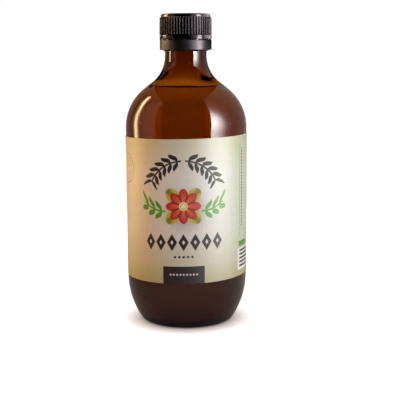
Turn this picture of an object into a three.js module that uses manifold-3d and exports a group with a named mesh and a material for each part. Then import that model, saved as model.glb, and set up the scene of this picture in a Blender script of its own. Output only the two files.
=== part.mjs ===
// A half-litre amber glass bottle of vinegar, with a ribbed black screw cap, a tamper band and a paper label.
// Millimetres, +Z up. The origin is the middle of the base, and the label's front faces -Y.
import * as THREE from "three";
import { mergeVertices } from "three/addons/utils/BufferGeometryUtils.js";
import Module from "manifold-3d";

// Glass body: straight wall, swept heel below it, round shoulder and cone above it
const BODY_RADIUS = 37.5;
const WALL = 2.8;
const HEEL_TOP = 28.5;
const SWEEP_RADIUS = 48.2;
const HEEL_RADIUS = 4.7;
const SHOULDER_START = 121.6;
const SHOULDER_RADIUS = 30.1;
const SHOULDER_ANGLE = 52.4;
const NECK_RADIUS = 12.8;
const NECK_BLEND_RADIUS = 20.6;
const LIP_TOP = 187.5;
const LIP_ROUND = 1.2;

// Base: a flat ring to stand on, and a shallow dome inside it
const RING_INNER_RADIUS = 20.5;
const PUSH_UP = 2.4;
const FLOOR = 5;
const FLOOR_CORNER = 6;
const FLOOR_DOME = 1.8;

// Vinegar
const FILL_LEVEL = 146.2;
const GAP = 0.3;

// Tamper band, left behind on the neck when the cap is unscrewed
const BAND_BOTTOM = 168.9;
const BAND_TOP = 174.9;
const BAND_RADIUS = 15.9;
const BAND_WALL = 1.2;
const BAND_EDGE = 0.35;
const BAND_LIP_HEIGHT = 1.3;
const BAND_CLEARANCE = 0.4;

// Screw cap
const CAP_BOTTOM = 175.4;
const COLLAR_TOP = 177.8;
const COLLAR_RADIUS = 15.95;
const CAP_RADIUS = 15.1;
const CAP_TOP = 190.6;
const CAP_ROUND = 1.1;
const CAP_CLEARANCE = 0.5;

// Grip ribs, which flare out a little towards the collar
const RIB_COUNT = 56;
const RIB_TOP = 188.9;
const RIB_TOP_RADIUS = 15.95;
const RIB_FOOT_RADIUS = 16.15;
const RIB_ROOT_SHARE = 0.56;
const RIB_TIP_SHARE = 0.26;
const RIB_BITE = 0.5;

// Paper label: one strip round the straight wall, put on slightly askew, with a gap at the back
const LABEL_BOTTOM = 30.6;
const LABEL_TOP = 117.4;
const LABEL_LENGTH = 190;
const LABEL_THICKNESS = 0.3;
const LABEL_CLEARANCE = 0.1;
const LABEL_SKEW = 1;
const LABEL_STEPS = 96;

const ROUND_STEPS = 40;
const wasm = await Module();
wasm.setup();

const point = (radius, height) => new THREE.Vector2(radius, height);
const radians = THREE.MathUtils.degToRad;

// Points of an arc from one angle to another, in degrees from the outward radius, both ends included.
function arc(centreRadius, centreHeight, radius, from, to, steps) {
  return Array.from({ length: steps + 1 }, (_, step) => {
    const angle = radians(from + ((to - from) * step) / steps);
    return point(centreRadius + radius * Math.cos(angle), centreHeight + radius * Math.sin(angle));
  });
}

// Height where the neck becomes straight: the two arcs and the cone between them, added up.
function neckStart() {
  const angle = radians(SHOULDER_ANGLE);
  const radii = SHOULDER_RADIUS + NECK_BLEND_RADIUS;
  const coneDrop = BODY_RADIUS - NECK_RADIUS - radii * (1 - Math.cos(angle));
  return SHOULDER_START + radii * Math.sin(angle) + coneDrop / Math.tan(angle);
}

// The side from the foot of its corner up to the neck, at a distance inside the outer glass.
function sideWall(inset, cornerRadius, floor) {
  const sweep = SWEEP_RADIUS - inset;
  const sweepCentre = BODY_RADIUS - SWEEP_RADIUS;
  const meet = Math.asin((HEEL_TOP - floor - cornerRadius) / (sweep - cornerRadius));
  const cornerCentre = sweepCentre + (sweep - cornerRadius) * Math.cos(meet);
  const meetDegrees = THREE.MathUtils.radToDeg(meet);
  const shoulderCentre = BODY_RADIUS - SHOULDER_RADIUS;
  const blendCentre = NECK_RADIUS + NECK_BLEND_RADIUS;
  return [
    ...arc(cornerCentre, floor + cornerRadius, cornerRadius, -90, -meetDegrees, 3),
    ...arc(sweepCentre, HEEL_TOP, sweep, -meetDegrees, 0, 4).slice(1),
    ...arc(shoulderCentre, SHOULDER_START, SHOULDER_RADIUS - inset, 0, SHOULDER_ANGLE, 6),
    ...arc(blendCentre, neckStart(), NECK_BLEND_RADIUS + inset, 180 + SHOULDER_ANGLE, 180, 5),
  ];
}

// Points of a shallow dome from the axis out to a rim, as part of a circle.
function dome(rimRadius, rimHeight, rise, steps) {
  const radius = (rimRadius ** 2 + rise ** 2) / (2 * rise);
  const halfAngle = THREE.MathUtils.radToDeg(Math.asin(rimRadius / radius));
  return arc(0, rimHeight + rise - radius, radius, 90, 90 - halfAngle, steps);
}

// The part of an outline below a level, ended by a point on that level.
function below(outline, level) {
  const next = outline.findIndex((spot) => spot.y > level);
  const low = outline[next - 1];
  const high = outline[next];
  const share = (level - low.y) / (high.y - low.y);
  return [...outline.slice(0, next), low.clone().lerp(high, share)];
}

// A solid of revolution round +Z; its outline runs up the outside and back down the inside.
function turned(outline, steps = ROUND_STEPS) {
  return new THREE.LatheGeometry(outline, steps).rotateX(Math.PI / 2);
}

// A solid joined from several overlapping ones.
function joined(geometries) {
  const solids = geometries.map((geometry) => {
    const bare = geometry.clone().deleteAttribute("normal").deleteAttribute("uv");
    const welded = mergeVertices(bare);
    const vertProperties = new Float32Array(welded.attributes.position.array);
    const triVerts = new Uint32Array(welded.index.array);
    return new wasm.Manifold(new wasm.Mesh({ numProp: 3, vertProperties, triVerts }));
  });
  const mesh = solids.reduce((whole, solid) => whole.add(solid)).getMesh();
  const geometry = new THREE.BufferGeometry();
  geometry.setAttribute("position", new THREE.BufferAttribute(mesh.vertProperties, 3));
  geometry.setIndex(new THREE.BufferAttribute(mesh.triVerts, 1));
  return geometry;
}

function glassBottle() {
  const bore = NECK_RADIUS - WALL;
  const outside = sideWall(0, HEEL_RADIUS, 0);
  const inside = sideWall(WALL, FLOOR_CORNER, FLOOR).reverse();
  const floorRim = inside.at(-1).x;
  return turned([
    ...dome(RING_INNER_RADIUS, 0, PUSH_UP, 4),
    ...outside,
    ...arc(NECK_RADIUS - LIP_ROUND, LIP_TOP - LIP_ROUND, LIP_ROUND, 0, 90, 2),
    point(bore, LIP_TOP),
    ...inside,
    ...dome(floorRim, FLOOR, FLOOR_DOME, 4).reverse().slice(1),
  ]);
}

// Everything inside the glass up to the fill level, a small gap clear of it.
function vinegar() {
  const floor = FLOOR + GAP;
  const side = below(sideWall(WALL + GAP, FLOOR_CORNER - GAP, floor), FILL_LEVEL);
  return turned([
    ...dome(side[0].x, floor, FLOOR_DOME, 4),
    ...side.slice(1),
    point(0, FILL_LEVEL),
  ]);
}

// A thin ring whose lower edge turns in to the neck.
function tamperBand() {
  const neckSide = NECK_RADIUS + BAND_CLEARANCE;
  const inner = BAND_RADIUS - BAND_WALL;
  const start = point(neckSide, BAND_BOTTOM);
  return turned([
    start,
    point(BAND_RADIUS - BAND_EDGE, BAND_BOTTOM),
    point(BAND_RADIUS, BAND_BOTTOM + BAND_EDGE),
    point(BAND_RADIUS, BAND_TOP),
    point(inner, BAND_TOP),
    point(inner, BAND_BOTTOM + 2 * BAND_LIP_HEIGHT),
    point(neckSide, BAND_BOTTOM + BAND_LIP_HEIGHT),
    start,
  ]);
}

// A toothed ring: each rib has a flat tip and sloping flanks, and its tip flares from top to foot.
function gripRibs() {
  const pitch = (2 * Math.PI) / RIB_COUNT;
  const rootRadius = CAP_RADIUS - RIB_BITE / 2;
  const corners = [
    [-RIB_ROOT_SHARE / 2, rootRadius],
    [-RIB_TIP_SHARE / 2, RIB_TOP_RADIUS],
    [RIB_TIP_SHARE / 2, RIB_TOP_RADIUS],
    [RIB_ROOT_SHARE / 2, rootRadius],
  ];
  const outline = Array.from({ length: RIB_COUNT }, (_, rib) => corners.map(([share, radius]) => {
    const angle = (rib + share) * pitch;
    return point(radius * Math.cos(angle), radius * Math.sin(angle));
  })).flat();
  const shape = new THREE.Shape(outline);
  shape.holes.push(new THREE.Path().absarc(0, 0, CAP_RADIUS - 2 * RIB_BITE, 0, 2 * Math.PI, true));
  const height = RIB_TOP - COLLAR_TOP + RIB_BITE;
  const ribs = new THREE.ExtrudeGeometry(shape, { depth: height, bevelEnabled: false, curveSegments: RIB_COUNT });
  const spots = ribs.attributes.position;
  for (let index = 0; index < spots.count; index += 1) {
    const spot = new THREE.Vector3().fromBufferAttribute(spots, index);
    const isTip = Math.hypot(spot.x, spot.y) > CAP_RADIUS;
    const flare = THREE.MathUtils.lerp(RIB_FOOT_RADIUS / RIB_TOP_RADIUS, 1, spot.z / height);
    const scale = isTip ? flare : 1;
    spots.setXY(index, spot.x * scale, spot.y * scale);
  }
  return ribs.translate(0, 0, RIB_TOP - height);
}

function screwCap() {
  const bore = NECK_RADIUS + CAP_CLEARANCE;
  const shell = turned([
    point(bore, CAP_BOTTOM),
    point(COLLAR_RADIUS, CAP_BOTTOM),
    point(COLLAR_RADIUS, COLLAR_TOP),
    point(CAP_RADIUS, COLLAR_TOP),
    ...arc(CAP_RADIUS - CAP_ROUND, CAP_TOP - CAP_ROUND, CAP_ROUND, 0, 90, 3),
    point(0, CAP_TOP),
    point(0, LIP_TOP + GAP),
    point(bore, LIP_TOP + GAP),
    point(bore, CAP_BOTTOM),
  ], RIB_COUNT);
  return joined([shell, gripRibs()]);
}

// A flat strip bent round the glass; its height grows with the way round, which sets it askew.
function paperLabel() {
  const inner = BODY_RADIUS + LABEL_CLEARANCE;
  const height = LABEL_TOP - LABEL_BOTTOM;
  const strip = new THREE.BoxGeometry(LABEL_LENGTH, LABEL_THICKNESS, height, LABEL_STEPS, 1, 1);
  const spots = strip.attributes.position;
  for (let index = 0; index < spots.count; index += 1) {
    const along = spots.getX(index);
    const angle = along / inner;
    const radius = inner + LABEL_THICKNESS / 2 - spots.getY(index);
    const rise = along * Math.tan(radians(LABEL_SKEW));
    spots.setXYZ(index, radius * Math.sin(angle), -radius * Math.cos(angle), spots.getZ(index) + rise);
  }
  return strip.translate(0, 0, (LABEL_BOTTOM + LABEL_TOP) / 2);
}

function piece(name, geometry, color, roughness) {
  const material = new THREE.MeshStandardMaterial({ color, roughness, metalness: 0 });
  const mesh = new THREE.Mesh(geometry, material);
  mesh.name = name;
  return mesh;
}

const bottle = new THREE.Group();
bottle.add(
  piece("glass_bottle", glassBottle(), "#5a2a08", 0.06),
  piece("vinegar", vinegar(), "#7a3c0c", 0.05),
  piece("tamper_band", tamperBand(), "#171516", 0.42),
  piece("screw_cap", screwCap(), "#121112", 0.38),
  piece("paper_label", paperLabel(), "#cbbd97", 0.48),
);

export default bottle;
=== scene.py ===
"""Looks of a half-litre amber glass bottle of vinegar with a ribbed black cap and a paper wrap label.

Metres, +Z up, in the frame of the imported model. The label's front faces -Y.
"""

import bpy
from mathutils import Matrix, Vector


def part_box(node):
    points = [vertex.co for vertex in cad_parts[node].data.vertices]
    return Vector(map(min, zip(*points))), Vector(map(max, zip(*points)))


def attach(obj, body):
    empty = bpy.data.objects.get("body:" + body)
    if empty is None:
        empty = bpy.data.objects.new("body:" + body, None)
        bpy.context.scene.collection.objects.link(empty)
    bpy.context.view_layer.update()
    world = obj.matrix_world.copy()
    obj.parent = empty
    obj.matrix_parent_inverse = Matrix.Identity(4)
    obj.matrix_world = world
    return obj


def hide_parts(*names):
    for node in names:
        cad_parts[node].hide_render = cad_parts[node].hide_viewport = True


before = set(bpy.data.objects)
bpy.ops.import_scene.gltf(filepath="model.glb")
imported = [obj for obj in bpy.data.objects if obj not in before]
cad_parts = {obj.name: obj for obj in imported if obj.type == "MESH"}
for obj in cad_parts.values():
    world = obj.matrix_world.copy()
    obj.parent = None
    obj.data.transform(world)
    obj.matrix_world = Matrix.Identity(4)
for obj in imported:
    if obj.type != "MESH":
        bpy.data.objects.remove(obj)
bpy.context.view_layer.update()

import math

import bpy
import numpy as np

MM = 0.001

# Sizes read from the frame
glass_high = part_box("glass_bottle")[1]
cap_low, cap_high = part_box("screw_cap")
band_low, band_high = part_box("tamper_band")
label_low, label_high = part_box("paper_label")
BODY_RADIUS = glass_high[0]
LIP_TOP = glass_high[2]
FILL_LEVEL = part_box("vinegar")[1][2]

# Glass wall
WALL = 2.8 * MM
HEEL_TOP = 28.5 * MM
SWEEP_RADIUS = 48.2 * MM
HEEL_RADIUS = 4.7 * MM
SHOULDER_START = 121.6 * MM
SHOULDER_RADIUS = 30.1 * MM
SHOULDER_ANGLE = 52.4
NECK_RADIUS = 12.8 * MM
NECK_BLEND_RADIUS = 20.6 * MM
LIP_ROUND = 1.2 * MM
RING_INNER_RADIUS = 20.5 * MM
PUSH_UP = 2.4 * MM
FLOOR = 5 * MM
FLOOR_CORNER = 6 * MM
FLOOR_DOME = 1.8 * MM
GLASS_STEP = 1.1 * MM
GLASS_COLUMNS = 136
OUTER_WAVE = 0.012 * MM
OUTER_SEED = 3
OUTER_DRAWN_IN = 3 * OUTER_WAVE
INNER_WAVE = 0.03 * MM
INNER_SEED = 5
WAVE_COUNT = 8
WAVE_TURNS = (1, 7)
WAVE_RISES = (40, 210)
GLASS_TINT = (1, 0.645, 0.4, 1)
GLASS_IOR = 1.52
GLASS_LOSS = (335, 510, 1300)
# Wall thickness by height, rounded over some samples, and one thicker place under the neck
THICKNESS_HEIGHTS = np.array([0, 100, 122, 138, 146, 149, 152, 156, 160, 166, 190]) * MM
THICKNESSES = np.array([2.8, 2.8, 2.5, 1.8, 1.4, 1.45, 2.0, 3.0, 3.6, 3.9, 3.9]) * MM
THICKNESS_SAMPLES = np.linspace(-0.01, 0.2, 841)
ROUNDING_SAMPLES = 25
SWELL_ANGLE = -40.0
SWELL_HALF_ANGLE = 22.0
SWELL_HEIGHT = 152.2 * MM
SWELL_HALF_HEIGHT = 3.4 * MM
SWELL_DEPTH = 1.05 * MM

# Vinegar
REACH = 0.1 * MM
MENISCUS_FRONT = 1.7 * MM
MENISCUS_BACK = 0.3 * MM
SURFACE_DROP = 0.9 * MM
VINEGAR_IOR = 1.34
VINEGAR_LOSS = (5, 8, 26)

# Cap and band
CAP_RADIUS = 15.1 * MM
COLLAR_RADIUS = 15.95 * MM
COLLAR_TOP = 177.8 * MM
CAP_ROUND = 1.1 * MM
CAP_BORE = 13.3 * MM
CAP_CEILING = LIP_TOP + 0.3 * MM
SKIRT_RADIUS = 14.3 * MM
SKIRT_DROP = 1.4 * MM
RIM_RADIUS = 11 * MM
RIM_ROUND = 0.6 * MM
DISH_RADIUS = 10.6 * MM
DISH_DEPTH = 0.35 * MM
GATE_RADIUS = 1.2 * MM
GATE_FLOOR_RADIUS = 0.9 * MM
GATE_DEPTH = 0.6 * MM
RIB_COUNT = 56
RIB_SAMPLES = 16
RIB_TOP = 188.9 * MM
RIB_TOP_RADIUS = 15.95 * MM
RIB_FOOT_RADIUS = 16.14 * MM
RIB_FLAT_SHARE = 0.05
RIB_FOOT_SHARE = 0.37
BAND_RADIUS = band_high[0]
BAND_WALL = 1.2 * MM
BAND_NECK_GAP = 0.4 * MM
BAND_LIP_DROP = 0.7 * MM
BAND_LIP_WIDTH = 1.5 * MM
BAND_LIP_RISE = 0.1 * MM
BAND_EDGE_ROW = 1.5 * MM
BAND_SLOPE_TOP = 2.6 * MM
BAND_SLOPE_FOOT = 1.3 * MM
BAND_COLUMNS = 720
BRIDGE_COUNT = 9
BRIDGE_TURN = -3.0
BRIDGE_HALF_ANGLE = 1.7
BRIDGE_SINK = 0.05 * MM

# Label
LABEL_LENGTH = 190 * MM
LABEL_HEIGHT = 86.8 * MM
LABEL_SKEW = 1.0
LABEL_MIDDLE = (label_low[2] + label_high[2]) / 2
PAPER = 0.12 * MM
PRESSED_IN = 0.07 * MM
UNPRINTED = 5
LABEL_RIPPLE = 0.02 * MM
TOP_LEFT_LIFT = 0.26 * MM
TOP_LEFT_TURN = -92
TOP_LEFT_SPREAD = 22
LOW_RIGHT_LIFT = 0.12 * MM
LOW_RIGHT_TURN = 88
LOW_RIGHT_SPREAD = 16
LABEL_COLUMNS = 420
LABEL_ROWS = 60

# Camera, fitted to the photograph
CAMERA_DISTANCE = 577.5 * MM
CAMERA_HEIGHT = 168.2 * MM
CAMERA_PITCH = 9.13
CAMERA_YAW = 0.868
CAMERA_ROLL = 0.22
LENS_TO_FRAME = 927 / 400
SENSOR = 36.0


# Shape helpers


def arc(centre_radius, centre_height, radius, start, end, steps):
    """Points of a circle from one angle to another, in degrees from the outward radius."""
    angle = np.radians(np.linspace(start, end, steps + 1))
    return np.stack([centre_radius + radius * np.cos(angle), centre_height + radius * np.sin(angle)], 1)


def dome(rim_radius, rim_height, rise, steps):
    """Points from the axis out to a rim, along the circle that stands a rise higher at the axis."""
    radius = (rim_radius ** 2 + rise ** 2) / (2 * rise)
    half_angle = math.degrees(math.asin(rim_radius / radius))
    return arc(0, rim_height + rise - radius, radius, 90, 90 - half_angle, steps)


def neck_start():
    """Height where the neck becomes straight: two arcs and the cone between them, added up."""
    angle = math.radians(SHOULDER_ANGLE)
    radii = SHOULDER_RADIUS + NECK_BLEND_RADIUS
    cone_drop = BODY_RADIUS - NECK_RADIUS - radii * (1 - math.cos(angle))
    return SHOULDER_START + radii * math.sin(angle) + cone_drop / math.tan(angle)


def side_wall(inset, corner, floor):
    """The bottle's side from its floor corner up to the neck, in tangent arcs.

    The inset is the distance inside the outer glass.
    """
    sweep = SWEEP_RADIUS - inset
    sweep_centre = BODY_RADIUS - SWEEP_RADIUS
    meet = math.asin((HEEL_TOP - floor - corner) / (sweep - corner))
    corner_centre = sweep_centre + (sweep - corner) * math.cos(meet)
    turn = math.degrees(meet)
    shoulder_centre = BODY_RADIUS - SHOULDER_RADIUS
    blend_centre = NECK_RADIUS + NECK_BLEND_RADIUS
    return np.concatenate([
        arc(corner_centre, floor + corner, corner, -90, -turn, 12),
        arc(sweep_centre, HEEL_TOP, sweep, -turn, 0, 24)[1:],
        arc(shoulder_centre, SHOULDER_START, SHOULDER_RADIUS - inset, 0, SHOULDER_ANGLE, 30),
        arc(blend_centre, neck_start(), NECK_BLEND_RADIUS + inset, 180 + SHOULDER_ANGLE, 180, 24),
    ])


def evened(outline, step):
    """An outline with points added along it, about one step apart and not close after another point."""
    length = np.concatenate([[0], np.cumsum(np.linalg.norm(np.diff(outline, axis=0), axis=1))])
    places = np.unique(np.concatenate([length, np.arange(0, length[-1], step)]))
    gap_before = np.diff(places, prepend=-step)
    places = places[(gap_before > step / 4) | np.isin(places, length)]
    return np.stack([np.interp(places, length, outline[:, axis]) for axis in (0, 1)], 1)


def inner_wall(reach):
    """The inner face of the glass: the even wall, moved along its normal to the local thickness.

    The reach moves it further out, into the glass.
    """
    wall = evened(side_wall(WALL, FLOOR_CORNER, FLOOR), GLASS_STEP)
    way = np.gradient(wall, axis=0)
    normal = np.stack([way[:, 1], -way[:, 0]], 1) / np.linalg.norm(way, axis=1, keepdims=True)
    rounding = np.hanning(ROUNDING_SAMPLES)
    straight = np.interp(THICKNESS_SAMPLES, THICKNESS_HEIGHTS, THICKNESSES)
    rounded = np.convolve(straight, rounding / rounding.sum(), "same")
    thickness = np.interp(wall[:, 1], THICKNESS_SAMPLES, rounded)
    return wall + normal * (WALL + reach - thickness)[:, None]


def waves(angle, height, strength, seed):
    """Slow uneven swelling of blown glass: a sum of seeded sines in the turn and the height."""
    draw = np.random.default_rng(seed)
    turns = draw.integers(*WAVE_TURNS, WAVE_COUNT)
    rises = draw.uniform(*WAVE_RISES, WAVE_COUNT)
    phases = draw.uniform(0, 2 * np.pi, WAVE_COUNT)
    sines = zip(turns, rises, phases)
    total = sum(np.sin(turn * angle + rise * height + phase) for turn, rise, phase in sines)
    return strength * total / 2


def revolved(outline, columns, push=None):
    """Grid of points of an outline turned round +Z; push adds to the radius by turn and height."""
    angle = np.linspace(0, 2 * np.pi, columns, endpoint=False)[None, :]
    radius = np.repeat(outline[:, :1], columns, 1)
    height = np.repeat(outline[:, 1:], columns, 1)
    if push is not None:
        radius = np.where(radius > 0, radius + push(angle, height), 0)
    return np.stack([radius * np.cos(angle), radius * np.sin(angle), height], 2)


def round_faces(rows, columns, ring):
    """Faces of a grid closed round; its end rows shrink to poles, or its rows close as a ring."""
    index = np.arange(rows * columns).reshape(rows, columns)
    if not ring:
        index[0] = index[0, 0]
        index[-1] = index[-1, 0]
    lower = index if ring else index[:-1]
    upper = np.roll(index, -1, 0) if ring else index[1:]
    quads = np.stack([lower, np.roll(lower, -1, 1), np.roll(upper, -1, 1), upper], 2).reshape(-1, 4)
    first_pole = quads[:, 0] == quads[:, 1]
    last_pole = quads[:, 2] == quads[:, 3]
    whole = quads[~first_pole & ~last_pole]
    return [whole, quads[first_pole][:, [0, 2, 3]], quads[last_pole][:, [0, 1, 2]]]


def signed_volume(points, face_sets):
    """Volume inside the faces, positive when they point outwards: tetrahedra to the origin, added up."""
    fans = [
        faces[:, [0, corner, corner + 1]]
        for faces in face_sets
        for corner in range(1, faces.shape[1] - 1)
    ]
    first, second, third = (points[np.concatenate(fans)[:, corner]] for corner in range(3))
    return np.einsum("ij,ij->", first, np.cross(second, third)) / 6


def solid_mesh(name, points, face_sets, sharp=None):
    """A mesh of the given points and faces, turned outwards, without unused points."""
    points = np.asarray(points).reshape(-1, 3)
    if signed_volume(points, face_sets) < 0:
        face_sets = [faces[:, ::-1] for faces in face_sets]
    used = np.unique(np.concatenate([faces.ravel() for faces in face_sets]))
    places = np.zeros(len(points), int)
    places[used] = np.arange(len(used))
    mesh = bpy.data.meshes.new(name)
    mesh.from_pydata(points[used], [], sum((places[faces].tolist() for faces in face_sets), []))
    mesh.polygons.foreach_set("use_smooth", np.ones(len(mesh.polygons), bool))
    if sharp is not None:
        mesh.set_sharp_from_angle(angle=math.radians(sharp))
    return mesh


def show(mesh, material, node):
    """Puts a mesh into the scene in place of a node of the frame."""
    mesh.materials.append(material)
    shown = bpy.data.objects.new(mesh.name, mesh)
    bpy.context.scene.collection.objects.link(shown)
    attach(shown, "root")
    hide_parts(node)
    return shown


def smooth_step(value, low, high):
    """0 below low, 1 above high, and a smooth cubic between them."""
    share = np.clip((value - low) / (high - low), 0, 1)
    return share * share * (3 - 2 * share)


# Shapes


def outer_push(angle, height):
    """Waves of the outer face, drawn in to stay within the bottle's box."""
    return waves(angle, height, OUTER_WAVE, OUTER_SEED) - OUTER_DRAWN_IN


def inner_push(angle, height):
    """Waves of the inner face, less a Gaussian swelling of the glass at one place under the neck."""
    aside = np.angle(np.exp(1j * (angle - np.radians(SWELL_ANGLE)))) / np.radians(SWELL_HALF_ANGLE)
    above = (height - SWELL_HEIGHT) / SWELL_HALF_HEIGHT
    return waves(angle, height, INNER_WAVE, INNER_SEED) - SWELL_DEPTH * np.exp(-aside ** 2 - above ** 2)


def bottle_glass():
    """Hollow glass turned from one outline, with waves on both faces.

    The outline runs along base dome, heel, side and lip, then down the inside to the floor dome.
    """
    outside = side_wall(0, HEEL_RADIUS, 0)
    inside = inner_wall(0)[::-1]
    outer = evened(np.concatenate([
        dome(RING_INNER_RADIUS, 0, PUSH_UP, 16),
        outside,
        arc(NECK_RADIUS - LIP_ROUND, LIP_TOP - LIP_ROUND, LIP_ROUND, 0, 90, 6),
    ]), GLASS_STEP)
    inner = evened(np.concatenate([
        [[inside[0, 0], LIP_TOP]],
        inside,
        dome(inside[-1, 0], FLOOR, FLOOR_DOME, 16)[::-1][1:],
    ]), GLASS_STEP)
    grid = np.concatenate([
        revolved(outer, GLASS_COLUMNS, outer_push),
        revolved(inner, GLASS_COLUMNS, inner_push),
    ])
    return solid_mesh("bottle_glass", grid, round_faces(*grid.shape[:2], ring=False))


def vinegar_fill():
    """Liquid that follows the inner glass and reaches just into it.

    At the wall its top climbs as a quarter circle. The circle's radius goes from its front value to its
    back value by a smooth step in the sine of the turn.
    """
    wall = inner_wall(REACH)
    low_wall = wall[wall[:, 1] < FILL_LEVEL - 2 * MENISCUS_FRONT]
    outline = evened(np.concatenate([dome(*low_wall[0], FLOOR_DOME, 16)[:-1], low_wall]), GLASS_STEP)
    angle = np.linspace(0, 2 * np.pi, GLASS_COLUMNS, endpoint=False)[None, :]
    frontal = 1 - smooth_step(np.sin(angle), -0.35, 0.35)
    rounding = MENISCUS_BACK + (MENISCUS_FRONT - MENISCUS_BACK) * frontal
    surface = FILL_LEVEL - SURFACE_DROP
    brim = surface + rounding
    climb = np.linspace(0, 1, 9)[1:, None]
    turn = np.radians(np.linspace(0, -90, 15))[1:, None]
    inwards = np.linspace(1, 0, 15)[1:, None]
    side_height = outline[-1, 1] + (brim - outline[-1, 1]) * climb
    side_radius = np.interp(side_height, wall[:, 1], wall[:, 0])
    top_radius = side_radius[-1] - rounding * (1 - np.cos(turn))
    columns = np.ones_like(angle)
    radius = np.concatenate([outline[:, :1] * columns, side_radius, top_radius, top_radius[-1] * inwards])
    height = np.concatenate([
        outline[:, 1:] * columns,
        side_height,
        brim + rounding * np.sin(turn),
        surface * columns * np.ones_like(inwards),
    ])
    radius = np.where(radius > 0, radius + waves(angle, height, INNER_WAVE, INNER_SEED), 0)
    grid = np.stack([radius * np.cos(angle), radius * np.sin(angle), height], 2)
    return solid_mesh("vinegar_fill", grid, round_faces(*grid.shape[:2], ring=False))


def rib_ridge(angle):
    """Height share of the grip ribs round the cap: a flat crest with smooth flanks, once in every pitch."""
    pitch_share = angle * RIB_COUNT / (2 * np.pi)
    from_crest = np.abs(pitch_share - np.round(pitch_share))
    return 1 - smooth_step(from_crest, RIB_FLAT_SHARE, RIB_FOOT_SHARE)


def ribbed_cap():
    """Cap shell turned from its outline; between collar and rim, points move out by their rib's height."""
    bottom = cap_low[2]
    top = cap_high[2]
    edge = 0.25 * MM
    foot = COLLAR_TOP + edge
    outline = np.concatenate([
        [[0, CAP_CEILING], [CAP_BORE, CAP_CEILING]],
        [[CAP_BORE, bottom - SKIRT_DROP], [SKIRT_RADIUS, bottom - SKIRT_DROP], [SKIRT_RADIUS, bottom]],
        arc(COLLAR_RADIUS - edge, bottom + edge, edge, -90, 0, 4),
        arc(COLLAR_RADIUS - edge, COLLAR_TOP - edge, edge, 0, 60, 3),
        np.stack([np.full(5, CAP_RADIUS), np.linspace(foot - edge / 2, foot + 2 * edge, 5)], 1),
        np.stack([np.full(14, CAP_RADIUS), np.linspace(foot + 4 * edge, RIB_TOP - 4 * edge, 14)], 1),
        np.stack([np.full(7, CAP_RADIUS), np.linspace(RIB_TOP - 3 * edge, RIB_TOP, 7)], 1),
        arc(CAP_RADIUS - CAP_ROUND, top - CAP_ROUND, CAP_ROUND, 0, 90, 8),
        arc(RIM_RADIUS, top - RIM_ROUND, RIM_ROUND, 90, 50, 4),
        [[DISH_RADIUS, top - DISH_DEPTH], [GATE_RADIUS, top - DISH_DEPTH]],
        [[GATE_FLOOR_RADIUS, top - GATE_DEPTH], [0, top - GATE_DEPTH]],
    ])

    def ribs(angle, height):
        """Rib height: flares from top to foot, and fades out over short slopes at both ends."""
        share = np.clip((RIB_TOP - height) / (RIB_TOP - COLLAR_TOP), 0, 1)
        tall = RIB_TOP_RADIUS + (RIB_FOOT_RADIUS - RIB_TOP_RADIUS) * share - CAP_RADIUS
        starts = smooth_step(height, foot - edge / 2, foot + edge)
        ends = 1 - smooth_step(height, RIB_TOP - 3 * edge, RIB_TOP)
        outside = outline[:, :1] > CAP_RADIUS - 0.01 * MM
        return np.where(outside, tall * starts * ends * rib_ridge(angle), 0)

    grid = revolved(outline, RIB_COUNT * RIB_SAMPLES, ribs)
    return solid_mesh("ribbed_cap", grid, round_faces(*grid.shape[:2], ring=False), sharp=50)


def tamper_ring():
    """Ring turned from its section, with a lip by the neck; at each bridge its top rises to the cap."""
    bottom = band_low[2]
    top = band_high[2]
    gap = cap_low[2] - top
    edge = 0.3 * MM
    inner = BAND_RADIUS - BAND_WALL
    neck_side = NECK_RADIUS + BAND_NECK_GAP
    outline = np.concatenate([
        [[neck_side, bottom - BAND_LIP_DROP], [neck_side + BAND_LIP_WIDTH, bottom + BAND_LIP_RISE]],
        arc(BAND_RADIUS - edge, bottom + edge, edge, -90, 0, 5),
        [[BAND_RADIUS, bottom + BAND_EDGE_ROW], [BAND_RADIUS, top - BAND_EDGE_ROW]],
        arc(BAND_RADIUS - edge, top - edge, edge, 0, 90, 5),
        [[inner, top], [inner, bottom + BAND_SLOPE_TOP], [neck_side, bottom + BAND_SLOPE_FOOT]],
    ])
    grid = revolved(outline, BAND_COLUMNS)
    turn = np.degrees(np.arctan2(grid[:, :, 0], -grid[:, :, 1])) - BRIDGE_TURN
    spacing = 360 / BRIDGE_COUNT
    from_bridge = np.abs(turn - spacing * np.round(turn / spacing))
    rise = 1 - smooth_step(from_bridge, 0.5 * BRIDGE_HALF_ANGLE, BRIDGE_HALF_ANGLE)
    near_top = grid[:, :, 2] > top - 0.5 * edge
    grid[:, :, 2] += np.where(near_top, (gap + BRIDGE_SINK) * rise, 0)
    return solid_mesh("tamper_ring", grid, round_faces(*grid.shape[:2], ring=True), sharp=50)


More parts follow.
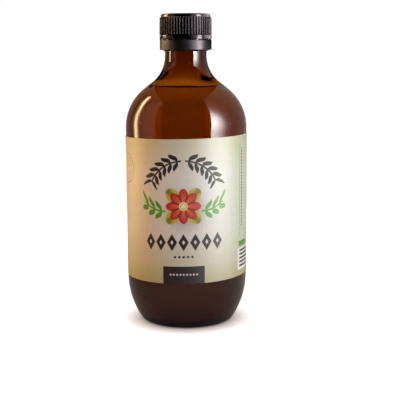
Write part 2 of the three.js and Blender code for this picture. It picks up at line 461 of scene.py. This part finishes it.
def wrap_label():
    """Paper strip on the glass: radius by lift, turn by length, height by row and skew; two faces and rim.

    The inner face's map lies below the print, so that it stays plain paper.
    """
    along = np.linspace(-0.5, 0.5, LABEL_COLUMNS)[:, None] * LABEL_LENGTH
    up = np.linspace(0, 1, LABEL_ROWS)[None, :] * LABEL_HEIGHT
    turn = along / BODY_RADIUS
    degrees = np.degrees(turn)
    top_left = np.exp(-((degrees - TOP_LEFT_TURN) / TOP_LEFT_SPREAD) ** 2)
    top_left = top_left * smooth_step(up, 0.86 * LABEL_HEIGHT, LABEL_HEIGHT)
    low_right = np.exp(-((degrees - LOW_RIGHT_TURN) / LOW_RIGHT_SPREAD) ** 2)
    low_right = low_right * (1 - smooth_step(up, 0, 0.3 * LABEL_HEIGHT))
    ripple = LABEL_RIPPLE * np.sin(9 * turn + 60 * up) * np.sin(4 * turn - 90 * up + 1)
    lift = TOP_LEFT_LIFT * top_left + LOW_RIGHT_LIFT * low_right + ripple
    height = LABEL_MIDDLE - LABEL_HEIGHT / 2 + up + along * math.tan(math.radians(LABEL_SKEW))

    def face(radius):
        """Points at a radius, turned from the front by the turn, at the height."""
        rows = np.broadcast_to(height, radius.shape)
        return np.stack([radius * np.sin(turn), -radius * np.cos(turn), rows], 2)

    outer = face(BODY_RADIUS + PAPER + lift)
    inner = face(BODY_RADIUS - PRESSED_IN + lift)
    front = np.arange(outer.size // 3).reshape(outer.shape[:2])
    back = front + front.size

    def quads(first, second):
        """Faces between two rows of points, one for each step along them."""
        return np.stack([first[:-1], first[1:], second[1:], second[:-1]], 1)

    rim_front = np.concatenate([front[:, 0], front[-1, 1:], front[-2::-1, -1], front[0, -2::-1]])
    rim_back = rim_front + front.size
    faces = np.concatenate([
        np.stack([front[:-1, :-1], front[1:, :-1], front[1:, 1:], front[:-1, 1:]], 2).reshape(-1, 4),
        np.stack([back[:-1, :-1], back[:-1, 1:], back[1:, 1:], back[1:, :-1]], 2).reshape(-1, 4),
        quads(rim_front, rim_back)[:, ::-1],
    ])
    points = np.concatenate([outer.reshape(-1, 3), inner.reshape(-1, 3)])
    mesh = solid_mesh("wrap_label", points, [faces], sharp=40)
    placed = np.stack([
        np.broadcast_to(along / LABEL_LENGTH + 0.5, front.shape),
        np.broadcast_to(up / LABEL_HEIGHT, front.shape),
    ], 2).reshape(-1, 2)
    placed = np.concatenate([placed, placed - [0, UNPRINTED]])
    corner_points = np.empty(len(mesh.loops), int)
    mesh.loops.foreach_get("vertex_index", corner_points)
    mesh.uv_layers.new(name="label_place").data.foreach_set("uv", placed[corner_points].ravel())
    return mesh


# Material helpers


class Field:
    """A number that changes over a surface. Arithmetic on fields adds Math nodes to their tree."""

    def __init__(self, tree, socket):
        self.tree = tree
        self.socket = socket

    def math(self, operation, *others, clamp=False):
        node = self.tree.nodes.new("ShaderNodeMath")
        node.operation = operation
        node.use_clamp = clamp
        for slot, value in zip(node.inputs, (self, *others)):
            if isinstance(value, Field):
                self.tree.links.new(value.socket, slot)
            else:
                slot.default_value = value
        return Field(self.tree, node.outputs[0])

    def __add__(self, other):
        return self.math("ADD", other)

    def __sub__(self, other):
        return self.math("SUBTRACT", other)

    def __mul__(self, other):
        return self.math("MULTIPLY", other)

    def __truediv__(self, other):
        return self.math("DIVIDE", other)

    def __abs__(self):
        return self.math("ABSOLUTE")

    def lower(self, other):
        return self.math("MINIMUM", other)

    def higher(self, other):
        return self.math("MAXIMUM", other)

    def ramp(self, low, high):
        """0 below low and 1 above high, in a straight line between them; low may be the larger."""
        return self.math("SUBTRACT", low).math("DIVIDE", high - low, clamp=True)


def srgb(red, green, blue):
    """Linear colour of an 8-bit screen colour: the low end is a straight line, the rest a 2.4 power."""
    screen = np.array([red, green, blue]) / 255
    linear = np.where(screen <= 0.04045, screen / 12.92, ((screen + 0.055) / 1.055) ** 2.4)
    return (*linear.tolist(), 1.0)


def new_material(name):
    """A new material, its node tree and its Principled shader."""
    material = bpy.data.materials.new(name)
    material.use_nodes = True
    return material, material.node_tree, material.node_tree.nodes["Principled BSDF"]


def noise(tree, vector, scale, detail=2.0, roughness=0.5):
    """A field of noise between about 0 and 1."""
    node = tree.nodes.new("ShaderNodeTexNoise")
    node.inputs["Scale"].default_value = scale
    node.inputs["Detail"].default_value = detail
    node.inputs["Roughness"].default_value = roughness
    tree.links.new(vector, node.inputs["Vector"])
    return Field(tree, node.outputs["Fac"])


def object_place(tree):
    """The point on the surface, in metres."""
    return tree.nodes.new("ShaderNodeTexCoord").outputs["Object"]


def place_parts(tree):
    """The three coordinates of the point on the surface, in millimetres."""
    split = tree.nodes.new("ShaderNodeSeparateXYZ")
    tree.links.new(object_place(tree), split.inputs["Vector"])
    return (Field(tree, split.outputs[axis]) / MM for axis in "XYZ")


def hill(value, centre, width):
    """1 at the centre, falling off as the exponential of the squared distance."""
    off = (value - centre) / width
    return (off * off * -1).math("EXPONENT")


def bump(tree, height, strength, distance, under=None):
    """A normal bent by a height field, over another bent normal where one is given."""
    node = tree.nodes.new("ShaderNodeBump")
    node.inputs["Strength"].default_value = strength
    node.inputs["Distance"].default_value = distance
    tree.links.new(height.socket, node.inputs["Height"])
    if under is not None:
        tree.links.new(under, node.inputs["Normal"])
    return node.outputs["Normal"]


def blend(tree, amount, under, over):
    """One colour painted over another by an amount; each is a socket or a fixed colour."""
    node = tree.nodes.new("ShaderNodeMix")
    node.data_type = "RGBA"
    tree.links.new(amount.socket, node.inputs["Factor"])
    for slot, colour in ((node.inputs[6], under), (node.inputs[7], over)):
        if isinstance(colour, tuple):
            slot.default_value = colour
        else:
            tree.links.new(colour, slot)
    return node.outputs[2]


def absorb(tree, per_metre):
    """Clear depth colour: light lost along the way, given for red, green and blue per metre."""
    node = tree.nodes.new("ShaderNodeVolumeAbsorption")
    densest = max(per_metre)
    node.inputs["Color"].default_value = (*(1 - loss / densest for loss in per_metre), 1)
    node.inputs["Density"].default_value = densest
    output = tree.nodes["Material Output"]
    tree.links.new(node.outputs["Volume"], output.inputs["Volume"])


# Materials


def amber_glass():
    """Amber container glass: coloured in its depth and at its faces, with smears and fine seeds."""
    material, tree, shader = new_material("amber_glass")
    place = object_place(tree)
    shader.inputs["Base Color"].default_value = GLASS_TINT
    shader.inputs["IOR"].default_value = GLASS_IOR
    shader.inputs["Transmission Weight"].default_value = 1.0
    smears = noise(tree, place, 60, 4).ramp(0.45, 0.8) * 0.05 + 0.012
    tree.links.new(smears.socket, shader.inputs["Roughness"])
    cells = tree.nodes.new("ShaderNodeTexVoronoi")
    cells.inputs["Scale"].default_value = 260
    tree.links.new(place, cells.inputs["Vector"])
    seeds = Field(tree, cells.outputs["Distance"]).ramp(0.10, 0.03)
    rolled = bump(tree, noise(tree, place, 120, 2), 0.05, 0.2 * MM)
    tree.links.new(bump(tree, seeds, 0.7, 0.14 * MM, under=rolled), shader.inputs["Normal"])
    absorb(tree, GLASS_LOSS)
    return material


def vinegar_liquid():
    """Clear golden liquid."""
    material, tree, shader = new_material("vinegar_liquid")
    shader.inputs["Base Color"].default_value = (1, 1, 1, 1)
    shader.inputs["IOR"].default_value = VINEGAR_IOR
    shader.inputs["Transmission Weight"].default_value = 1.0
    shader.inputs["Roughness"].default_value = 0.0
    absorb(tree, VINEGAR_LOSS)
    return material


def moulded_grain():
    """Node group of two masks on moulded plastic: a fine grain, and places rubbed by handling."""
    group = bpy.data.node_groups.new("moulded_grain", "ShaderNodeTree")
    group.interface.new_socket("Place", in_out="INPUT", socket_type="NodeSocketVector")
    group.interface.new_socket("Grain", in_out="OUTPUT", socket_type="NodeSocketFloat")
    group.interface.new_socket("Rubbed", in_out="OUTPUT", socket_type="NodeSocketFloat")
    place = group.nodes.new("NodeGroupInput").outputs["Place"]
    result = group.nodes.new("NodeGroupOutput")
    group.links.new(noise(group, place, 2600, 3).socket, result.inputs["Grain"])
    group.links.new(noise(group, place, 160, 3).ramp(0.45, 0.75).socket, result.inputs["Rubbed"])
    return group


def black_plastic(name, group, smoothest, grain_depth, grip=0.0):
    """Moulded black plastic, finely grained and rubbed in places; on the ribs the grip makes it duller."""
    material, tree, shader = new_material(name)
    masks = tree.nodes.new("ShaderNodeGroup")
    masks.node_tree = group
    tree.links.new(object_place(tree), masks.inputs["Place"])
    grain = Field(tree, masks.outputs["Grain"])
    rubbed = Field(tree, masks.outputs["Rubbed"])
    shade = blend(tree, rubbed * 0.6, srgb(5, 4, 4), srgb(13, 11, 12))
    tree.links.new(shade, shader.inputs["Base Color"])
    _, _, z = place_parts(tree)
    above_collar = z.ramp(COLLAR_TOP / MM - 0.2, COLLAR_TOP / MM + 0.4)
    below_rim = z.ramp(RIB_TOP / MM + 0.3, RIB_TOP / MM - 0.3)
    gloss = grain * grain_depth * 0.4 + smoothest + rubbed * 0.06 + above_collar * below_rim * grip
    tree.links.new(gloss.socket, shader.inputs["Roughness"])
    tree.links.new(bump(tree, grain, grain_depth, 0.05 * MM), shader.inputs["Normal"])
    return material


# Inks and papers
CHARCOAL = srgb(38, 29, 29)
LEAF_GREEN = srgb(74, 160, 20)
PALE_GREEN = srgb(160, 212, 130)
OLIVE_LEAF = srgb(196, 186, 60)
OLIVE_DEEP = srgb(130, 132, 40)
FLOWER_RED = srgb(206, 34, 30)
FLOWER_DEEP = srgb(134, 20, 22)
FLOWER_ORANGE = srgb(240, 116, 76)
FLOWER_CREAM = srgb(252, 232, 190)
PAPER_CREAM = srgb(228, 226, 222)
PAPER_STRAW = srgb(200, 199, 160)
# Painted shade for the label's lower edge, not a paper colour of its own
PAINTED_FOOT_SHADE = srgb(176, 172, 120)
PAPER_SAGE = srgb(216, 228, 202)
PAPER_WHITE = srgb(248, 248, 246)
PAPER_TAN = srgb(196, 182, 158)
PAPER_SHADE = srgb(150, 130, 116)

# Places of the print, in millimetres from the middle of the strip and up from its lower edge
INK_EDGE = 0.12
PRINT_MIDDLE = -2
WREATH_UP = 52
WREATH_RADIUS = 22
FLOWER_UP = 47
FLOWER_SHADE = (-0.6, 44.6)
LOZENGE_UP = 25.2
LOZENGE_PITCH = 7.0
LOZENGE_REACH = 24.5
DOT_PITCH = 2.6
DOT_REACH = 6.5
BEAD_PITCH = 2.0
BEAD_REACH = 9
ROSETTE = (-47, 68)
COLUMN_ALONG = 78

# Printed boxes: middle along, middle up, half width, half height
TAB = (PRINT_MIDDLE, 5.0, 12.7, 5.6)
RULE = (38.7, 53, 0.45, 29)
GREEN_BAR = (43.2, 20.0, 5.5, 1.6)
PANEL = (45, 10.3, 8.5, 6.8)

# Columns of bars: middle along, middle up, half height of the column, pitch, half width and height of a bar
DASHES = (41.4, 55, 24, 1.9, 0.6, 0.55)
PANEL_BARS = (45, 10.8, 6, 2.4, 6.5, 0.6)


def ink(distance):
    """How much ink lies where a distance to a printed shape, in millimetres, is below zero."""
    return distance.ramp(INK_EDGE / 2, -INK_EDGE / 2)


def box_distance(across, up, half_width, half_height):
    """Distance to an upright rectangle: the larger of the two overhangs."""
    return (abs(across) - half_width).higher(abs(up) - half_height)


def repeated(value, pitch):
    """Place within one pitch of a repeating row, from the middle of that pitch."""
    return value.math("MODULO", pitch) - pitch / 2


def leafy_row(along, across, start, end, pitch, leaf_length, leaf_half_width, slant, stem=0.5):
    """Distance to a stem with pairs of leaves: each leaf swells as a sine of the distance from the stem."""
    aside = abs(across)
    shifted = along - aside * slant - start
    place = repeated(shifted, pitch)
    swell = (aside.ramp(0, leaf_length) * math.pi).math("SINE") * leaf_half_width
    leaves = (abs(place) - swell).higher(aside - leaf_length * 0.98)
    within = (shifted * -1).higher(shifted - (end - start))
    line = (aside - stem).higher((along - start) * -1).higher(along - end)
    return leaves.higher(within).lower(line)


def label_paper():
    """Coated label paper, cream to sage with painted shade along its lower edge, printed with a generic
    ornament of leaves and a flower.
    """
    material, tree, shader = new_material("label_paper")
    uv = tree.nodes.new("ShaderNodeUVMap")
    uv.uv_map = "label_place"
    split = tree.nodes.new("ShaderNodeSeparateXYZ")
    tree.links.new(uv.outputs["UV"], split.inputs["Vector"])
    along = (Field(tree, split.outputs["X"]) - 0.5) * (LABEL_LENGTH / MM)
    up = Field(tree, split.outputs["Y"]) * (LABEL_HEIGHT / MM)
    place = object_place(tree)

    across = along - PRINT_MIDDLE
    side = abs(across)
    colour = blend(tree, along.ramp(12, 46), PAPER_CREAM, PAPER_SAGE)
    rim = up.ramp(30, 2).higher(up.ramp(66, 92))
    colour = blend(tree, rim, colour, PAPER_STRAW)
    # Painted shade: the paper darkens towards its lower edge, where the light and sheen fall off
    colour = blend(tree, up.ramp(11, -8), colour, PAINTED_FOOT_SHADE)
    grain = noise(tree, place, 1500, 3)
    mottle = noise(tree, place, 90, 3)
    colour = blend(tree, (grain - 0.5) * 1.1 + (mottle - 0.5) * 0.12 + 0.12, colour, PAPER_TAN)

    def painted(distance, ink_colour):
        """The colour so far, with ink over it where the distance is below zero."""
        return blend(tree, ink(distance), colour, ink_colour)

    def from_point(centre_along, centre_up):
        """Distance from a point of the print, and the turn round it from straight up."""
        right = along - centre_along
        above = up - centre_up
        return (right * right + above * above).math("SQRT"), right.math("ARCTAN2", above)

    def box(middle_along, middle_up, half_width, half_height):
        """Distance to a printed box."""
        return box_distance(along - middle_along, up - middle_up, half_width, half_height)

    def bar_column(middle_along, middle_up, half_column, pitch, half_width, half_height):
        """Distance to boxes that repeat upwards, cut off at both ends of their column."""
        bars = box_distance(along - middle_along, repeated(up, pitch), half_width, half_height)
        return bars.higher(abs(up - middle_up) - half_column)

    # Wreath
    arch_radius, arch_turn = from_point(PRINT_MIDDLE, WREATH_UP)
    arch_along = abs(arch_turn) * WREATH_RADIUS
    arch = leafy_row(
        arch_along, arch_radius - WREATH_RADIUS, start=1.2, end=25, pitch=4.2,
        leaf_length=5.4, leaf_half_width=1.7, slant=0.75,
    )
    colour = painted(arch, CHARCOAL)

    # Flower on its soft shadow, with sprigs and leaves
    shade_radius, _ = from_point(*FLOWER_SHADE)
    colour = blend(tree, shade_radius.ramp(15, 6) * 0.55, colour, PAPER_SHADE)
    sprig_up = up - 44 - (side - 12) * (side - 12) * 0.03
    sprig = leafy_row(
        side, sprig_up, start=11, end=25, pitch=4.6,
        leaf_length=5.8, leaf_half_width=1.7, slant=0.7,
    )
    colour = painted(sprig, LEAF_GREEN)
    flower_radius, flower_turn = from_point(PRINT_MIDDLE, FLOWER_UP)
    lobes = abs((flower_turn * 2).math("SINE"))
    leaf_shade = blend(tree, lobes.ramp(0.93, 0.99), OLIVE_LEAF, OLIVE_DEEP)
    colour = painted(flower_radius - lobes * 14, leaf_shade)
    petal = abs((flower_turn * 4).math("COSINE"))
    streaks = abs((flower_turn * 44).math("SINE")) * flower_radius.ramp(2, 7)
    red = blend(tree, petal.ramp(0.75, 0.05), FLOWER_RED, FLOWER_DEEP)
    red = blend(tree, petal.ramp(0.2, 1) * flower_radius.ramp(9.5, 3), red, FLOWER_ORANGE)
    red = blend(tree, streaks * 0.3, red, FLOWER_DEEP)
    colour = painted(flower_radius - (petal * 3.4 + 7.2), red)
    colour = painted(flower_radius - 2.6, FLOWER_CREAM)
    colour = painted(abs(flower_radius - 1.7) - 0.3, OLIVE_LEAF)

    # Lozenges with pale middles, and dots below them
    row_place = repeated(across + LOZENGE_REACH, LOZENGE_PITCH)
    lozenge = (abs(row_place) / 3.1 + abs(up - LOZENGE_UP) / 5.2 - 1) * 2.4
    colour = painted(lozenge.higher(side - LOZENGE_REACH), CHARCOAL)
    middle = (abs(row_place) / 0.9 + abs(up - LOZENGE_UP) / 1.5 - 1) * 0.7
    colour = painted(middle.higher(side - LOZENGE_REACH), PAPER_CREAM)
    dot_place = repeated(across + DOT_REACH, DOT_PITCH)
    dot_up = up - 16.4
    dots = ((dot_place * dot_place + dot_up * dot_up).math("SQRT") - 0.75).higher(side - DOT_REACH)
    colour = painted(dots, CHARCOAL)

    # Tab at the foot, with a pale row
    colour = painted(box(*TAB), CHARCOAL)
    bead_place = repeated(across + BEAD_REACH, BEAD_PITCH)
    beads = (abs(bead_place) / 0.6 + abs(up - 5.6) / 0.7 - 1) * 0.5
    colour = painted(beads.higher(side - BEAD_REACH), PAPER_WHITE)

    # Right side: a rule, a row of dashes, a green bar, and a white panel with bars
    colour = painted(box(*RULE), PALE_GREEN)
    colour = painted(bar_column(*DASHES), CHARCOAL)
    colour = painted(box(*GREEN_BAR), LEAF_GREEN)
    colour = painted(box(*PANEL), PAPER_WHITE)
    colour = painted(bar_column(*PANEL_BARS), CHARCOAL)

    # Left side: a faint rosette in rings
    ring_radius, ring_turn = from_point(*ROSETTE)
    rosette = ring_radius - abs((ring_turn * 3).math("COSINE")) * 4.5
    rings = (abs(ring_radius - 9) - 0.35).lower(abs(ring_radius - 6.6) - 0.25).lower(abs(rosette) - 0.3)
    colour = blend(tree, ink(rings) * 0.55, colour, OLIVE_DEEP)

    # A leafy column near each end of the strip
    for column_along in (COLUMN_ALONG, -COLUMN_ALONG):
        column = leafy_row(
            up, along - column_along, start=14, end=74, pitch=6.0,
            leaf_length=7.0, leaf_half_width=2.1, slant=0.7,
        )
        colour = painted(column, LEAF_GREEN)

    worn = blend(tree, grain.ramp(0.55, 0.85) * 0.06, colour, PAPER_TAN)
    tree.links.new(worn, shader.inputs["Base Color"])
    gloss = grain * 0.12 + 0.44
    tree.links.new(gloss.socket, shader.inputs["Roughness"])
    tree.links.new(bump(tree, grain, 0.12, 0.05 * MM), shader.inputs["Normal"])
    return material


glass = show(bottle_glass(), amber_glass(), "glass_bottle")
vinegar = show(vinegar_fill(), vinegar_liquid(), "vinegar")
grain_group = moulded_grain()
cap_plastic = black_plastic("cap_plastic", grain_group, smoothest=0.15, grain_depth=0.01, grip=0.11)
cap = show(ribbed_cap(), cap_plastic, "screw_cap")
band_plastic = black_plastic("band_plastic", grain_group, smoothest=0.32, grain_depth=0.20)
band = show(tamper_ring(), band_plastic, "tamper_band")
label = show(wrap_label(), label_paper(), "paper_label")


# Studio
FLOOR_HALF = 400 * MM
RING_SIDES = 48
RING_RADIUS = 58 * MM
RING_HEIGHTS = (1 * MM, 30 * MM)
RING_GLOW = 0.25
PANEL_FOOT = 20 * MM
SHEEN_DISTANCE = 250 * MM
SHEEN_TOP = 360 * MM


def stage_plane(name, corners, material):
    """A flat four-cornered stage piece."""
    material.cycles.emission_sampling = "NONE"
    mesh = bpy.data.meshes.new(name)
    mesh.from_pydata(corners, [], [(0, 1, 2, 3)])
    mesh.materials.append(material)
    plane = bpy.data.objects.new(name, mesh)
    bpy.context.scene.collection.objects.link(plane)
    return plane


def pale_floor():
    """Pale matt floor that each kind of ray sees in its own way.

    Reflections see it darker, most of all on the left, and matt shading is lit by it as if it were brown.
    For the camera it goes to white outside the contact shadow. Through glass it glows, more so further out.
    """
    material, tree, shader = new_material("pale_floor")
    path = tree.nodes.new("ShaderNodeLightPath")
    speckle = noise(tree, object_place(tree), 400, 2)
    pale = blend(tree, speckle * 0.1, srgb(246, 245, 243), srgb(236, 235, 233))
    x, y, _ = place_parts(tree)
    mirrored = Field(tree, path.outputs["Is Glossy Ray"]) * (x.ramp(-150, 150) * -0.4 + 0.6)
    shade = blend(tree, mirrored, pale, srgb(40, 38, 38))
    shade = blend(tree, Field(tree, path.outputs["Is Diffuse Ray"]), shade, srgb(130, 84, 60))
    tree.links.new(shade, shader.inputs["Base Color"])
    shader.inputs["Roughness"].default_value = 0.8
    shader.inputs["Specular IOR Level"].default_value = 0.1
    away = (x * x + y * y).math("SQRT")
    beyond = tree.nodes.new("ShaderNodeEmission")
    through = away.ramp(130, 260) * 0.6 + away.ramp(30, 70) * 0.14 + 0.03
    tree.links.new(through.socket, beyond.inputs["Strength"])
    far = away.ramp(24, 44) * Field(tree, path.outputs["Is Camera Ray"])
    shader.inputs["Emission Color"].default_value = (1, 1, 1, 1)
    tree.links.new((far * 0.8).socket, shader.inputs["Emission Strength"])
    mix = tree.nodes.new("ShaderNodeMixShader")
    tree.links.new(path.outputs["Is Transmission Ray"], mix.inputs["Fac"])
    tree.links.new(shader.outputs["BSDF"], mix.inputs[1])
    tree.links.new(beyond.outputs["Emission"], mix.inputs[2])
    tree.links.new(mix.outputs["Shader"], tree.nodes["Material Output"].inputs["Surface"])
    signs = ((-1, -1), (1, -1), (1, 1), (-1, 1))
    corners = [(FLOOR_HALF * right, FLOOR_HALF * back, 0) for right, back in signs]
    return stage_plane("floor", corners, material)


def heel_ring():
    """A dim ring round the heel, seen only through glass, so that no bright edge shows in the heel."""
    material, tree, _ = new_material("heel_ring")
    material.cycles.emission_sampling = "NONE"
    light = tree.nodes.new("ShaderNodeEmission")
    light.inputs["Strength"].default_value = RING_GLOW
    tree.links.new(light.outputs["Emission"], tree.nodes["Material Output"].inputs["Surface"])
    turn = np.linspace(0, 2 * np.pi, RING_SIDES, endpoint=False)
    circle = np.stack([RING_RADIUS * np.cos(turn), RING_RADIUS * np.sin(turn)], 1)
    points = np.concatenate([np.insert(circle, 2, height, 1) for height in RING_HEIGHTS])
    index = np.arange(RING_SIDES)
    after = np.roll(index, -1)
    mesh = bpy.data.meshes.new("heel_ring")
    faces = np.stack([index, after, after + RING_SIDES, index + RING_SIDES], 1)
    mesh.from_pydata(points, [], faces.tolist())
    mesh.materials.append(material)
    ring = bpy.data.objects.new("heel_ring", mesh)
    bpy.context.scene.collection.objects.link(ring)
    ring.visible_camera = False
    ring.visible_diffuse = False
    ring.visible_glossy = False
    ring.visible_shadow = False
    ring.visible_volume_scatter = False


def mirrored_card(name, corners, material):
    """A stage card that only reflections see; corners in millimetres."""
    card = stage_plane(name, [tuple(MM * part for part in corner) for corner in corners], material)
    card.visible_camera = False
    card.visible_diffuse = False
    card.visible_shadow = False
    card.visible_transmission = False
    card.visible_volume_scatter = False
    return card


# Corners of the dark cards, in millimetres: placed like the open front and top of a paper light cone
LEFT_FOOT = (-264, -196, 0)
LEFT_TOP = (-47, -37, 185)
LEFT_RIM = (-38, 98, 157)
RIGHT_FOOT = (201, -224, 0)
RIGHT_TOP = (31, -40, 182)
RIGHT_RIM = (40, 98, 151)


def dark_openings():
    """Black cards for reflections: two like the openings of a paper light cone, and one above its front."""
    material, _, shader = new_material("dark_opening")
    shader.inputs["Base Color"].default_value = (0, 0, 0, 1)
    shader.inputs["Specular IOR Level"].default_value = 0.0
    mirrored_card("front_opening", [LEFT_FOOT, RIGHT_FOOT, RIGHT_TOP, LEFT_TOP], material)
    mirrored_card("top_opening", [LEFT_TOP, RIGHT_TOP, RIGHT_RIM, LEFT_RIM], material)
    mirrored_card("upper_front", [LEFT_TOP, RIGHT_TOP, (200, -224, 500), (-264, -196, 500)], material)


def light_only(lamp, pieces):
    """Links a lamp or a glowing card to the only pieces that it lights."""
    lit = bpy.data.collections.new(lamp.name + "_lights")
    for piece in pieces:
        lit.objects.link(piece)
    lamp.light_linking.receiver_collection = lit


def glow(name, corners, colour, strength):
    """A glowing card for glass and liquid to mirror.

    Its strength is one number, or a formula of the place on it in millimetres.
    """
    material, tree, _ = new_material(name)
    light = tree.nodes.new("ShaderNodeEmission")
    light.inputs["Color"].default_value = (*colour, 1)
    if callable(strength):
        tree.links.new(strength(*place_parts(tree)).socket, light.inputs["Strength"])
    else:
        light.inputs["Strength"].default_value = strength
    tree.links.new(light.outputs["Emission"], tree.nodes["Material Output"].inputs["Surface"])
    light_only(mirrored_card(name, corners, material), [glass, vinegar])


def glowing_cards():
    """A lamp on the right, a warm streak down the left, and a faint flat card by the streak's top."""
    front = (105, -192)
    back = (755, 92)
    length = math.hypot(back[0] - front[0], back[1] - front[1])
    way = ((back[0] - front[0]) / length, (back[1] - front[1]) / length)

    def lamp(x, y, z):
        """A bright and a wide faint hill along the card and up it, over an even glow."""
        along = (x - 150) * way[0] + (y + 172) * way[1]
        core = hill(along, 10, 125) * hill(z, 176, 90) * 24
        return core + hill(along, 40, 300) * hill(z, 190, 200) * 1.2 + 0.36

    lamp_corners = [(*front, 0), (*back, 0), (*back, 700), (*front, 700)]
    glow("lamp_glow", lamp_corners, (1, 0.95, 0.96), lamp)

    def streak(x, y, z):
        """A hill across the streak's line, which leans and widens downwards, with a faint wider one."""
        below = z * -1 + 172
        upper = z.ramp(152, 164)
        off = (y + 6.1 - below * 0.172 - upper * 3.5) / (below * 0.1 + 2.8)
        core = (off * off * -1).math("EXPONENT") * (upper * 8 + 12.3)
        halo = (off * off * -0.15).math("EXPONENT")
        return (core + halo) * z.ramp(177, 167)

    streak_corners = [(-209, -20, 0), (-209, 66, 0), (-45, 16, 176), (-45, -14, 176)]
    glow("warm_streak", streak_corners, (1, 0.68, 0.37), streak)

    lip_corners = [(-36, -30, 171), (-36, 30, 171), (-56, 30, 171), (-56, -30, 171)]
    glow("streak_lip", lip_corners, (1, 0.58, 0.39), 0.33)


def studio_air():
    """The air round the stage, by the direction and the kind of ray.

    The camera sees white. Reflections see a dim room, warmer on the left and lighter in front on that side.
    Through glass it is bright behind, less so straight behind, far aside and low down, and dark in front.
    All other rays see an even brown.
    """
    world = bpy.data.worlds.new("studio")
    bpy.context.scene.world = world
    world.use_nodes = True
    world.cycles.sampling_method = "NONE"
    tree = world.node_tree
    split = tree.nodes.new("ShaderNodeSeparateXYZ")
    tree.links.new(tree.nodes.new("ShaderNodeTexCoord").outputs["Generated"], split.inputs["Vector"])
    x, y, z = (Field(tree, split.outputs[axis]) for axis in "XYZ")
    right = x.ramp(-0.1, 0.1)
    aside = abs(x / y.higher(0.01) - 0.02)
    behind = aside.ramp(0.195, 0.165) * y.ramp(0, 0.1)
    beyond = behind * -0.45 - aside.ramp(0.3, 0.5) * 0.45 + 1.3
    beyond = beyond * (z.ramp(-0.32, -0.12) * 0.25 + 0.75) * y.ramp(-0.3, 0)
    front_left = (x.ramp(0.1, -0.1) * y.ramp(0.3, -0.1)) * 0.2
    path = tree.nodes.new("ShaderNodeLightPath")
    glossy = Field(tree, path.outputs["Is Glossy Ray"])
    through = Field(tree, path.outputs["Is Transmission Ray"])
    camera = Field(tree, path.outputs["Is Camera Ray"])
    mixed = tree.nodes.new("ShaderNodeCombineColor")
    for slot, left_dim, right_dim, even in (
        ("Red", 0.33, 0.42, 0.30),
        ("Green", 0.19, 0.35, 0.15),
        ("Blue", 0.13, 0.32, 0.10),
    ):
        dim = right * (right_dim - left_dim) + left_dim + front_left
        seen = glossy * (dim - even) + even
        seen = seen + (beyond - seen) * through
        seen = seen + (seen * -1 + 1) * camera
        tree.links.new(seen.socket, mixed.inputs[slot])
    tree.links.new(mixed.outputs["Color"], tree.nodes["Background"].inputs["Color"])


def panel_light(name, azimuth, distance, bottom, top, width, colour, radiance):
    """An upright panel of light facing the bottle; azimuth in degrees from the camera, + to the right."""
    light = bpy.data.lights.new(name, "AREA")
    light.shape = "RECTANGLE"
    light.size = width
    light.size_y = top - bottom
    light.color = colour
    light.energy = radiance * math.pi * width * (top - bottom)
    lamp = bpy.data.objects.new(name, light)
    bpy.context.scene.collection.objects.link(lamp)
    turn = math.radians(azimuth)
    lamp.location = (distance * math.sin(turn), -distance * math.cos(turn), (bottom + top) / 2)
    lamp.rotation_euler = (math.radians(90), 0, turn)
    lamp.visible_camera = False
    lamp.visible_transmission = False
    return lamp


def fill_lights():
    """A cool panel on the right and a warm strip on the left, for the matt shading of the label alone."""
    for name, azimuth, distance, top, width, colour, radiance in (
        ("softbox", 45, 0.62, 0.6, 0.30, (0.85, 0.98, 1), 6.5),
        ("warm_strip", -94, 0.6, 0.75, 0.10, (1, 0.73, 0.38), 14.5),
    ):
        lamp = panel_light(name, azimuth, distance, PANEL_FOOT, top, width, colour, radiance)
        lamp.visible_glossy = False
        light_only(lamp, [label])


def sheen_lights():
    """Panels that show only as sheen on label, cap and band: pale on the right and warm on the left."""
    neutral = (0.97, 0.98, 1)
    warm = (1, 0.62, 0.27)
    for name, azimuth, bottom, width, colour, radiance, pieces in (
        ("label_right", 57, 0.02, 0.22, neutral, 14, [label]),
        ("label_left", -104, 0.03, 0.10, warm, 11, [label]),
        ("cap_right", 55, 0.05, 0.16, (1, 0.82, 0.93), 20, [cap, band]),
        ("cap_far", 112, 0.05, 0.24, (1, 0.81, 0.92), 3.4, [cap]),
        ("cap_left", -106, 0.05, 0.09, (1, 0.62, 0.36), 19, [cap, band]),
    ):
        lamp = panel_light(name, azimuth, SHEEN_DISTANCE, bottom, SHEEN_TOP, width, colour, radiance)
        lamp.visible_diffuse = False
        light_only(lamp, pieces)


def overhead_light(floor):
    """A wide soft light above, for the floor alone, that reflections don't see."""
    light = bpy.data.lights.new("overhead", "SUN")
    light.angle = math.radians(100)
    light.energy = 1.5
    lamp = bpy.data.objects.new("overhead", light)
    bpy.context.scene.collection.objects.link(lamp)
    lamp.visible_glossy = False
    lamp.visible_camera = False
    lamp.visible_transmission = False
    light_only(lamp, [floor])


def photo_camera():
    """The photograph's camera: level turn, pitch and roll from the fit, lens from the frame's width."""
    camera = bpy.data.cameras.new("camera")
    camera.sensor_width = SENSOR
    camera.lens = SENSOR * LENS_TO_FRAME
    camera.clip_start = 0.01
    viewer = bpy.data.objects.new("camera", camera)
    bpy.context.scene.collection.objects.link(viewer)
    viewer.location = (0, -CAMERA_DISTANCE, CAMERA_HEIGHT)
    turns = (90 - CAMERA_PITCH, CAMERA_ROLL, -CAMERA_YAW)
    viewer.rotation_euler = tuple(math.radians(turn) for turn in turns)
    bpy.context.scene.camera = viewer


floor = pale_floor()
heel_ring()
dark_openings()
glowing_cards()
studio_air()
fill_lights()
sheen_lights()
overhead_light(floor)
photo_camera()
bpy.context.scene.view_settings.view_transform = "Standard"
